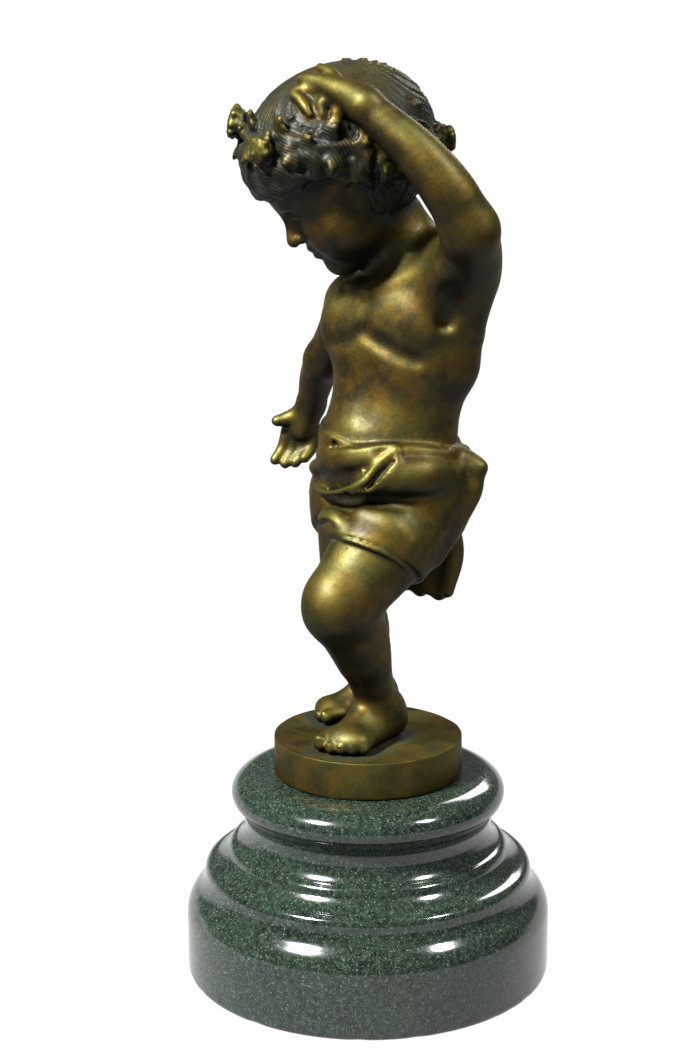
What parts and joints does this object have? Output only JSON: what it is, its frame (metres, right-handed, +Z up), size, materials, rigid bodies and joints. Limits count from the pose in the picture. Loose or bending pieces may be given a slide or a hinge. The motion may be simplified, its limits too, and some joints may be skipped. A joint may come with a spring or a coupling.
{
  "type": "bronze statuette",
  "caption": "Bronze statuette of a walking toddler in a draped cloth and vine wreath, one hand raised to the brow, on a round plinth and turned green marble socle.",
  "frame": {"origin": "centre of the marble socle's underside, on the surface the statuette stands on", "axes": "+Z up along the socle's turning axis; the child faces -Y and the raised left arm is toward +X"},
  "size_m": [0.089, 0.089, 0.2199],
  "materials": {
    "figure_bronze": "cast bronze with a dark brown patina, rubbed golden on the high places and green in the hollows",
    "plinth_bronze": "cast bronze, worn brown patina",
    "green_marble": "polished dark green marble with fine pale grain"
  },
  "bodies": {
    "root": {"bronze_boy": "figure_bronze", "bronze_plinth": "plinth_bronze", "marble_socle": "green_marble"}
  },
  "joints": []
}
